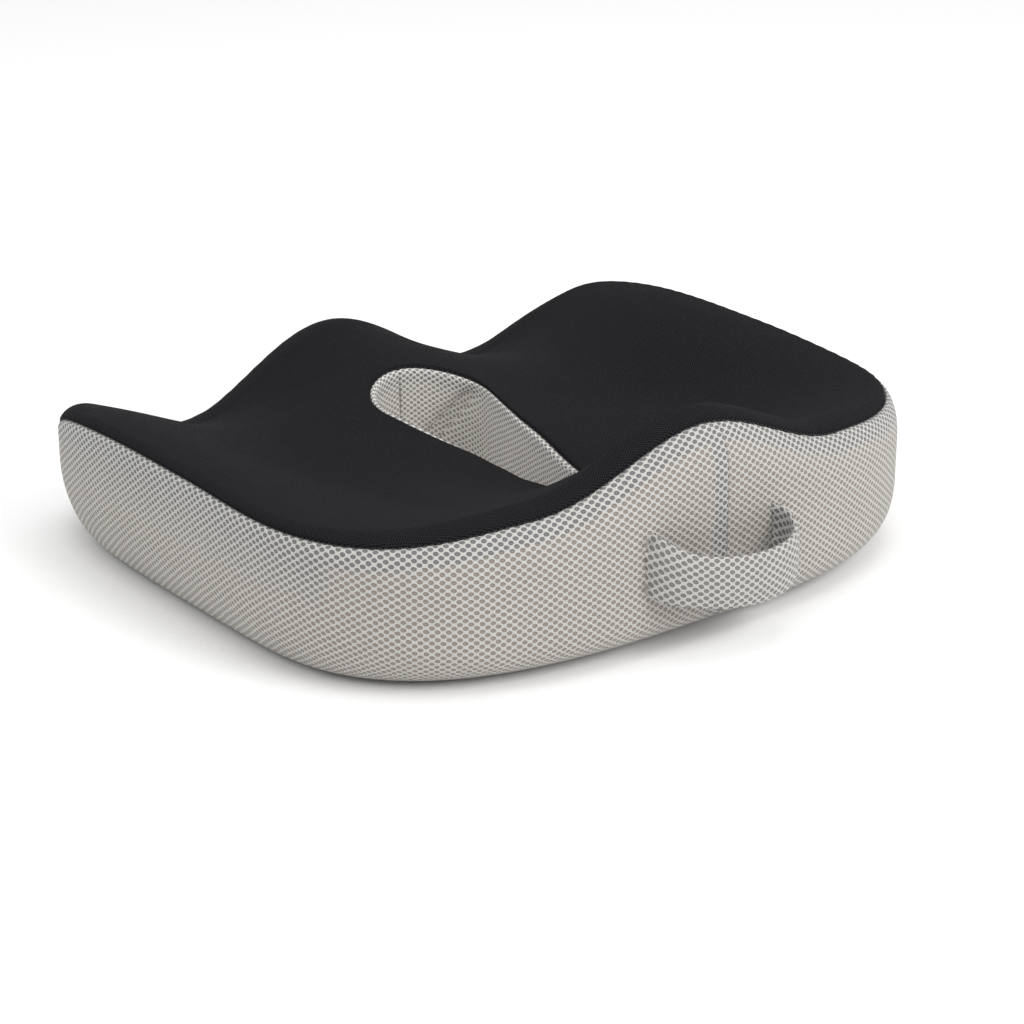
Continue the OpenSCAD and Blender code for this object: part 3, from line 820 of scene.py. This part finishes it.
def zip_row(name, y):
    spots = [zip_point(x, y, 0.0) for x in np.linspace(-ZIP_L / 2 + 3, ZIP_L / 2 - 3, 60)]
    path = np.array([p for p, _ in spots])
    ups = np.array([n for _, n in spots])
    return stitch_row(name, path, ups, SEAM_STITCH)


zip_stitches = [zip_row("zip_stitches_upper", 6.75), zip_row("zip_stitches_lower", -6.75)]

DOT_PITCH = 18.0
DOT_LIFT = 0.15
BLOCK_X = CUT_FRONT_R + 14


def on_base(x, y):
    inside = (abs(x) / (HALF_W - 34)) ** 5 + (abs(y) / (HALF_D - 56)) ** 5 < 1
    hole = abs(x) < BLOCK_X and -CUT_FRONT_Y - CUT_FRONT_R - 14 < y < CUT_REAR_Y + CUT_REAR_R + 14
    return inside and not hole


def grip_dots():
    """Domed dots in the CAD's pattern; every fifth one of every fourth row is full height."""
    places = []
    for j in range(-9, 10):
        for i in range(-12, 13):
            x, y = (i + (j % 2) * 0.5) * DOT_PITCH, j * DOT_PITCH * math.sin(math.pi / 3)
            if on_base(x, y):
                places.append((x, y, 0 if i % 5 == 0 and j % 4 == 0 else DOT_LIFT))
    sides = 20
    turn = np.linspace(0, 2 * math.pi, sides, endpoint=False)
    shape = [(2.75, 0.9), (2.6, 0.62), (2.35, 0.3), (1.8, 0.08), (1.0, 0.0), (0.3, 0.0)]
    rings = np.array([[(r * math.cos(t), r * math.sin(t), z) for t in turn] for r, z in shape])
    points = np.concatenate([rings.reshape(-1, 3) * [1, 1, 1 - p[2]] + p for p in places])
    ca, cb = quads(len(shape), sides, False, True)
    one = ca * sides + cb % sides
    half = sides // 2
    i = np.arange(half - 1)
    cap = np.stack([i, i + 1, sides - 2 - i, sides - 1 - i], -1)
    one = np.concatenate([one, cap[:, ::-1], cap + (len(shape) - 1) * sides])[:, ::-1]
    step = len(shape) * sides
    faces = np.concatenate([one + n * step for n in range(len(places))])
    uvs = points[faces][..., :2]
    return mesh_object("grip_dots", points, faces, uvs)


dots = grip_dots()


# ---------------------------------------------------------------- materials
class Graph:
    """One node material, with short names for the nodes it needs."""

    def __init__(self, name, **finish):
        self.material = bpy.data.materials.new(name)
        self.material.use_nodes = True
        self.tree = self.material.node_tree
        self.shader = self.tree.nodes["Principled BSDF"]
        for socket, value in finish.items():
            self.shader.inputs[socket.replace("_", " ")].default_value = value

    def node(self, kind, inputs=(), **settings):
        node = self.tree.nodes.new(kind)
        for key, value in settings.items():
            setattr(node, key, value)
        for key, value in dict(inputs).items():
            self.put(node.inputs[key], value)
        return node

    def put(self, socket, value):
        if isinstance(value, bpy.types.NodeSocket):
            self.tree.links.new(value, socket)
        else:
            socket.default_value = value

    def math(self, operation, *values):
        node = self.node("ShaderNodeMath", operation=operation)
        for socket, value in zip(node.inputs, values):
            self.put(socket, value)
        return node.outputs[0]

    def step(self, value, low, high):
        """0 below low, 1 above high, smooth between them."""
        inputs = {"Value": value, "From Min": low, "From Max": high}
        return self.node("ShaderNodeMapRange", inputs, interpolation_type="SMOOTHSTEP").outputs[0]

    def mix(self, amount, a, b):
        node = self.node("ShaderNodeMix", data_type="RGBA")
        for socket, value in ((0, amount), (6, a), (7, b)):
            self.put(node.inputs[socket], value)
        return node.outputs[2]

    def noise(self, where, scale, detail=2.0):
        inputs = {"Vector": where, "Scale": scale, "Detail": detail}
        return self.node("ShaderNodeTexNoise", inputs).outputs["Fac"]

    def cloth(self):
        """Cloth coordinates in metres, as a vector and as u and v."""
        where = self.node("ShaderNodeUVMap", uv_map="cloth").outputs[0]
        parts = self.node("ShaderNodeSeparateXYZ", {0: where})
        return where, parts.outputs[0], parts.outputs[1]

    def solid(self):
        """Coordinates of the piece itself, in metres."""
        where = self.node("ShaderNodeTexCoord").outputs["Object"]
        parts = self.node("ShaderNodeSeparateXYZ", {0: where})
        return where, parts.outputs

    def bump(self, height, distance, before=None):
        inputs = {"Height": height, "Distance": distance, "Strength": 1.0}
        node = self.node("ShaderNodeBump", inputs)
        if before is not None:
            self.put(node.inputs["Normal"], before)
        return node.outputs[0]

    def finish(self, colour, normal, rough=None):
        self.put(self.shader.inputs["Base Color"], colour)
        self.put(self.shader.inputs["Normal"], normal)
        if rough is not None:
            self.put(self.shader.inputs["Roughness"], rough)
        return self.material


def rgb(r, g, b):
    """Linear colour from display values of 0 to 255."""
    def linear(c):
        c = c / 255
        return c / 12.92 if c < 0.04045 else ((c + 0.055) / 1.055) ** 2.4
    return (linear(r), linear(g), linear(b), 1.0)


def lattice(g, u, v, column, cell, hole_w, hole_h):
    """Distance to the nearest hole of a hexagonal net, as a share of the hole's own radius."""
    nets = []
    for shift in (0.0, 0.5):
        away = []
        for value, pitch, size in ((u, 2 * column, hole_w), (v, cell, hole_h)):
            place = g.math("FRACT", g.math("ADD", g.math("DIVIDE", value, pitch), shift))
            away.append(g.math("MULTIPLY", g.math("SUBTRACT", place, 0.5), 2 * pitch / size))
        squares = [g.math("POWER", g.math("ABSOLUTE", x), 2.0) for x in away]
        nets.append(g.math("SQRT", g.math("ADD", *squares)))
    return g.math("MINIMUM", *nets)


FIBRE_PITCH = 0.6 * MM
THREAD_TWIST = 0.5 * MM


def spacer_mesh(name, strand, ring, hole, backing_and_shade_colour, sizes, **finish):
    """Knitted spacer mesh: strands round oval holes, through which the layer behind shows."""
    g = Graph(name, **finish)
    where, u, v = g.cloth()
    wobble = g.math("SUBTRACT", g.noise(where, 160.0), 0.5)
    drift = g.math("SUBTRACT", g.noise(where, 45.0, 1.0), 0.5)
    bend = g.math("ADD", g.math("MULTIPLY", wobble, 0.8 * MM), g.math("MULTIPLY", drift, 1.6 * MM))
    bent_u = g.math("ADD", u, bend)
    bent_v = g.math("ADD", v, g.math("MULTIPLY", wobble, -0.7 * MM))
    far = lattice(g, bent_u, bent_v, *sizes)
    fibre = g.math("SINE", g.math("MULTIPLY", bent_v, 2 * math.pi / FIBRE_PITCH))
    fuzz = g.noise(where, 2600.0, 1.0)
    solid = g.step(far, 0.84, 1.12)
    # Painted highlight: a ring of lighter colour on the strands round each hole, where their rounded
    # rims catch the light
    rim_highlight_mask = g.math("MULTIPLY", g.step(far, 0.98, 1.16),
                    g.math("SUBTRACT", 1.0, g.step(far, 1.2, 1.5)))
    # This attribute darkens the holes towards the last colour: real seam allowance behind on the
    # walls and lining, painted shade on the strap's inner face
    backing_and_shade = g.node("ShaderNodeAttribute", attribute_name="backing_and_shade").outputs["Fac"]
    # The hole colour is the layer behind, darkened with painted shade of the hole's recess
    behind = g.mix(backing_and_shade, hole, backing_and_shade_colour)
    spot = g.math("MULTIPLY", g.math("SUBTRACT", 1.0, g.step(far, 0.15, 0.6)),
                  g.noise(where, 420.0, 1.0))
    behind = g.mix(g.math("MULTIPLY", spot, 0.2), behind, strand)
    # The ring colour is the painted rim highlight on the strands
    cloth = g.mix(rim_highlight_mask, strand, ring)
    shade = g.math("ADD", 0.9, g.math("MULTIPLY", fuzz, 0.2))
    shade = g.math("ADD", shade, g.math("MULTIPLY", fibre, 0.035))
    worn = g.math("MULTIPLY", g.math("SUBTRACT", g.noise(where, 14.0, 3.0), 0.5), 0.10)
    shade = g.math("ADD", shade, worn)
    colour = g.mix(solid, behind, cloth)
    tint = g.node("ShaderNodeVectorMath", {0: colour}, operation="SCALE")
    g.put(tint.inputs["Scale"], shade)
    round_strand = g.math("ADD", g.step(far, 0.8, 1.35), g.math("MULTIPLY", fibre, 0.04))
    round_strand = g.math("ADD", round_strand, g.math("MULTIPLY", fuzz, 0.12))
    return g.finish(tint.outputs[0], g.bump(round_strand, 0.8 * MM))


GREY_NET = (2.97 * MM, 4.33 * MM, 3.05 * MM, 2.25 * MM)
BLACK_NET = (1.15 * MM, 1.7 * MM, 1.05 * MM, 0.95 * MM)
LINING_NET = (2.4 * MM, 3.6 * MM, 2.2 * MM, 1.9 * MM)
SOFT = {"Roughness": 0.85, "Specular_IOR_Level": 0.25, "Sheen_Weight": 0.12, "Sheen_Roughness": 0.5}
BLACK_SOFT = dict(SOFT, Sheen_Weight=0.0, Specular_IOR_Level=0.08)

# Spacer mesh colours in order: strand; ring, a painted highlight on the strands' rims; hole, the
# layer behind darkened with painted shade; and the seam allowance behind, which on the strap's inner
# face is painted shade
grey_mesh = spacer_mesh("grey_mesh", rgb(187, 185, 181), rgb(205, 204, 200), rgb(136, 127, 118),
                        rgb(108, 107, 109), GREY_NET, **SOFT)
lining_mesh = spacer_mesh("lining_mesh", rgb(215, 213, 209), rgb(230, 228, 224), rgb(154, 146, 138),
                          rgb(128, 126, 125), LINING_NET, **SOFT)
black_mesh = spacer_mesh("black_mesh", rgb(38, 38, 41), rgb(48, 48, 52), rgb(13, 13, 15),
                         rgb(12, 12, 14), BLACK_NET, **BLACK_SOFT)


def woven(name, low, high, pitch, relief, cloth=True, **finish):
    """Plain weave: warp and weft that pass over and under each other."""
    g = Graph(name, **finish)
    if cloth:
        where, u, v = g.cloth()
    else:
        where, (u, v, _) = g.solid()
    warp, weft = (g.math("SINE", g.math("MULTIPLY", x, 2 * math.pi / pitch)) for x in (u, v))
    over = g.math("MULTIPLY", warp, weft)
    height = g.math("ADD", g.math("MULTIPLY", over, 0.5), 0.5)
    fuzz = g.noise(where, 1800.0, 1.0)
    amount = g.math("ADD", g.math("MULTIPLY", height, 0.7), g.math("MULTIPLY", fuzz, 0.3))
    patch = g.noise(where, 20.0, 2.0)
    colour = g.mix(g.math("MULTIPLY", amount, g.math("ADD", 0.6, patch)), low, high)
    return g.finish(colour, g.bump(g.math("ADD", height, g.math("MULTIPLY", fuzz, 0.3)), relief))


base_cloth = woven("base_cloth", rgb(34, 34, 37), rgb(66, 66, 70), 1.6 * MM, 0.35 * MM, **SOFT)
tape_cloth = woven("zip_tape_cloth", rgb(26, 26, 28), rgb(52, 52, 56), 0.9 * MM, 0.2 * MM,
                   cloth=False, **SOFT)


def thread(name, low, high):
    """Twisted sewing thread."""
    g = Graph(name, Roughness=0.6, Specular_IOR_Level=0.4, Sheen_Weight=0.1)
    where, u, v = g.cloth()
    slant = g.math("ADD", u, g.math("MULTIPLY", v, 1.2))
    twist = g.math("SINE", g.math("MULTIPLY", slant, 2 * math.pi / THREAD_TWIST))
    height = g.math("ADD", g.math("MULTIPLY", twist, 0.5), 0.5)
    fuzz = g.noise(where, 3000.0, 1.0)
    amount = g.math("ADD", g.math("MULTIPLY", height, 0.6), g.math("MULTIPLY", fuzz, 0.4))
    return g.finish(g.mix(amount, low, high), g.bump(height, 0.12 * MM))


black_thread = thread("black_thread", rgb(18, 18, 20), rgb(44, 44, 48))
grey_thread = thread("grey_thread", rgb(150, 147, 141), rgb(196, 193, 187))


def foam_material():
    g = Graph("memory_foam", Roughness=0.9, Specular_IOR_Level=0.15, Subsurface_Weight=0.0)
    where, _ = g.solid()
    cells = g.node("ShaderNodeTexVoronoi", {"Vector": where, "Scale": 900.0}).outputs["Distance"]
    patch = g.noise(where, 18.0, 3.0)
    colour = g.mix(patch, rgb(232, 222, 190), rgb(244, 238, 214))
    colour = g.mix(g.step(cells, 0.05, 0.6), rgb(205, 192, 155), colour)
    return g.finish(colour, g.bump(cells, 0.3 * MM))


def coated(name, low, high, worn, scale, rough, **finish):
    """Moulded or painted surface: fine grain, soft mottling and lighter worn spots."""
    g = Graph(name, **finish)
    where, _ = g.solid()
    grain = g.noise(where, scale, 3.0)
    mottle = g.noise(where, 60.0, 2.0)
    colour = g.mix(mottle, low, high)
    scuffs = g.step(g.noise(where, 340.0, 5.0), 0.62, 0.72)
    colour = g.mix(g.math("MULTIPLY", scuffs, 0.5), colour, worn)
    roughness = g.math("ADD", rough, g.math("MULTIPLY", grain, 0.15))
    return g.finish(colour, g.bump(grain, 0.05 * MM), roughness)


foam_look = foam_material()
dot_rubber = coated("dot_rubber", rgb(38, 38, 41), rgb(52, 52, 56), rgb(88, 86, 84), 2500.0, 0.45)
teeth_nylon = coated("teeth_nylon", rgb(44, 44, 47), rgb(58, 58, 62), rgb(90, 90, 92), 3000.0, 0.35)
zip_paint = coated("zip_paint", rgb(84, 85, 88), rgb(108, 109, 112), rgb(168, 168, 170), 2000.0,
                   0.25, Metallic=0.7)

for piece, material, slot in (
    (seat_cover, black_mesh, "black_mesh"),
    (wall_left, grey_mesh, "grey_mesh"),
    (wall_right, grey_mesh, "grey_mesh"),
    (lining, lining_mesh, "grey_mesh"),
    (base_fabric, base_cloth, "base_fabric"),
    (foam_block, foam_look, "foam"),
    (top_stitches, black_thread, "black_thread"),
    (rim_stitches, black_thread, "black_thread"),
    (foot_stitches, black_thread, "black_thread"),
    (base_stitches, black_thread, "black_thread"),
    (rear_stitches, grey_thread, "grey_thread"),
    (front_stitches, grey_thread, "grey_thread"),
    (lining_stitches, grey_thread, "grey_thread"),
    (strap, grey_mesh, "grey_mesh"),
    *((row, grey_thread, "grey_thread") for row in strap_stitches + tacks),
    *((row, black_thread, "black_thread") for row in zip_stitches),
    (dots, dot_rubber, "grip_rubber"),
):
    piece.data.materials.append(material)

for nodes, material in (
    (("zip_tape_upper", "zip_tape_lower"), tape_cloth),
    (("zip_teeth_upper", "zip_teeth_lower"), teeth_nylon),
    (("zip_end_stops", "zip_slider", "zip_puller"), zip_paint),
):
    for node in nodes:
        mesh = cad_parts[node].data
        mesh.materials.clear()
        mesh.materials.append(material)


# ---------------------------------------------------------------- what each piece stands for
STANDS_FOR = {
    seat_cover: ["top_panel"],
    wall_left: ["side_panel_left"],
    wall_right: ["side_panel_right"],
    lining: ["cutout_lining"],
    base_fabric: ["base_panel"],
    foam_block: ["foam_core"],
    top_stitches: ["top_seam_thread"],
    rim_stitches: ["cutout_seam_thread"],
    foot_stitches: ["cutout_base_thread"],
    base_stitches: ["base_seam_thread"],
    rear_stitches: ["rear_joint_thread"],
    front_stitches: ["front_joint_thread"],
    lining_stitches: ["lining_joint_thread"],
    tacks[0]: ["handle_bartacks"],
    tacks[1]: ["handle_bartacks"],
    zip_stitches[0]: ["zip_tape_stitches"],
    zip_stitches[1]: ["zip_tape_stitches"],
    dots: ["grip_dots_bearing", "grip_dots_front", "grip_dots_rear", "grip_dots_left",
           "grip_dots_right"],
}
for piece, nodes in STANDS_FOR.items():
    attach(piece, "cushion")
    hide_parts(*nodes)

# The real strap bends between the wall and 22 mm out of it; here the strap and its edge stitches
# only get their placement baked into their meshes and stand in for the CAD's handle parts
for piece, nodes in (
    (strap, ["handle_outer_face", "handle_padding", "handle_inner_face", "handle_end_left",
             "handle_end_right"]),
    (strap_stitches[0], ["handle_edge_thread"]),
    (strap_stitches[1], ["handle_edge_thread"]),
):
    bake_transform(piece)
    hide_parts(*nodes)


# ---------------------------------------------------------------- studio
# A hair under the dots that the cushion stands on
FLOOR_Z = -0.0003
FLOOR_HALF = 15.0


def floor():
    corners = ((-1, -1), (1, -1), (1, 1), (-1, 1))
    points = [(x * FLOOR_HALF, y * FLOOR_HALF, FLOOR_Z) for x, y in corners]
    mesh = bpy.data.meshes.new("floor")
    mesh.from_pydata(points, [], [[0, 1, 2, 3]])
    piece = bpy.data.objects.new("floor", mesh)
    bpy.context.scene.collection.objects.link(piece)
    g = Graph("paper_floor", Roughness=0.9, Specular_IOR_Level=0.1)
    where, _ = g.solid()
    grain = g.noise(where, 300.0, 2.0)
    white = g.mix(grain, rgb(250, 250, 250), rgb(254, 254, 254))
    mesh.materials.append(g.finish(white, g.bump(grain, 0.1 * MM)))


def soft_box(name, place, aim, size, watts):
    light = bpy.data.lights.new(name, "AREA")
    light.shape = "DISK"
    light.size = size
    light.energy = watts
    lamp = bpy.data.objects.new(name, light)
    lamp.location = place
    lamp.rotation_euler = (Vector(aim) - Vector(place)).to_track_quat("-Z", "Y").to_euler()
    bpy.context.scene.collection.objects.link(lamp)


MIDDLE = Vector((0, BODY_SHIFT * MM, 0.05))
VIEW_TURN = math.radians(142.48)
VIEW_RISE = math.radians(20.73)
VIEW_DISTANCE = 1.6997
LENS = 100.16
# The photograph frames the object a little left of centre and above it
AIM_RIGHT = 0.0101
AIM_UP = -0.0334


def camera():
    back = Vector((
        math.sin(VIEW_TURN) * math.cos(VIEW_RISE),
        -math.cos(VIEW_TURN) * math.cos(VIEW_RISE),
        math.sin(VIEW_RISE),
    ))
    turned = (-back).to_track_quat("-Z", "Y")
    aim = MIDDLE + turned @ Vector((AIM_RIGHT, AIM_UP, 0))
    data = bpy.data.cameras.new("camera")
    data.lens = LENS
    data.sensor_width = 36.0
    eye = bpy.data.objects.new("camera", data)
    eye.location = MIDDLE + back * VIEW_DISTANCE
    eye.rotation_mode = "QUATERNION"
    eye.rotation_quaternion = (aim - eye.location).to_track_quat("-Z", "Y")
    bpy.context.scene.collection.objects.link(eye)
    bpy.context.scene.camera = eye


floor()
camera()
soft_box("key", (-0.7, 2.1, 1.6), MIDDLE, 1.6, 32)
soft_box("fill", (1.7, 0.2, 1.5), MIDDLE, 1.4, 5)
soft_box("top", (0, 0, 2.4), MIDDLE, 2.0, 17)
world = bpy.data.worlds.new("studio")
world.use_nodes = True
world.node_tree.nodes["Background"].inputs["Color"].default_value = (1.0, 1.0, 1.0, 1.0)
world.node_tree.nodes["Background"].inputs["Strength"].default_value = 0.75
bpy.context.scene.world = world
bpy.context.scene.view_settings.view_transform = "Standard"
